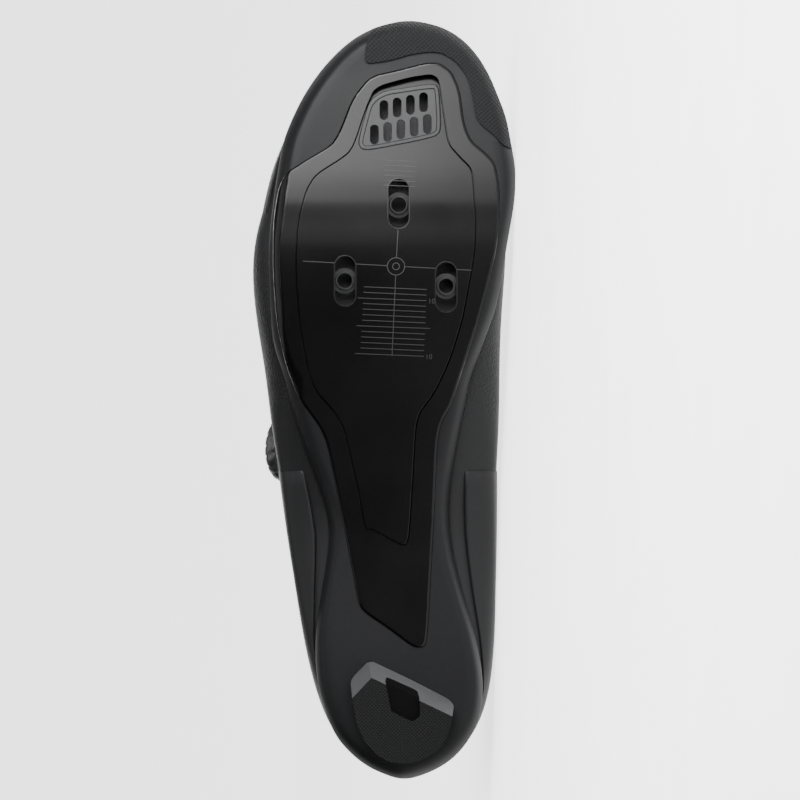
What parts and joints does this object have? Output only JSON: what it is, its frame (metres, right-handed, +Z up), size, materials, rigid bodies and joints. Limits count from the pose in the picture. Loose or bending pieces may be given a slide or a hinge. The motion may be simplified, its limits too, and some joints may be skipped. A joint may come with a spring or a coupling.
{
  "type": "cycling shoe",
  "caption": "Right road cycling shoe lying on its inner side, with a stiff plate sole, slotted cleat nuts, toe vent, heel pad and lace dial.",
  "frame": {"origin": "centre of the object's box on the floor that the shoe lies on", "axes": "+X to the toe, -Y is the side that the sole faces, +Z up from the floor, which is the outer side of the foot"},
  "size_m": [0.2776, 0.1048, 0.0935],
  "materials": {
    "upper": "matte",
    "overlay": "satin",
    "sole_base": "satin",
    "sole_plate": "gloss",
    "rubber": "matte",
    "insert": "gloss",
    "insole": "matte",
    "nut": "satin",
    "dial": "satin",
    "lace": "satin"
  },
  "bodies": {
    "root": {"upper": "upper", "heel_counter": "overlay", "toe_cap": "overlay", "tongue": "upper", "insole": "insole", "outsole": "sole_base", "sole_plate": "sole_plate", "cleat_panel": "sole_plate", "vent_tray": "sole_plate", "toe_bumper": "rubber", "heel_pad": "rubber", "heel_insert": "insert", "cleat_nut_front": "nut", "cleat_nut_lateral": "nut", "cleat_nut_medial": "nut", "dial_base": "dial", "dial_knob": "dial", "lace": "lace", "lace_guide_1": "overlay", "lace_guide_2": "overlay", "lace_guide_3": "overlay", "lace_guide_4": "overlay"}
  },
  "joints": []
}
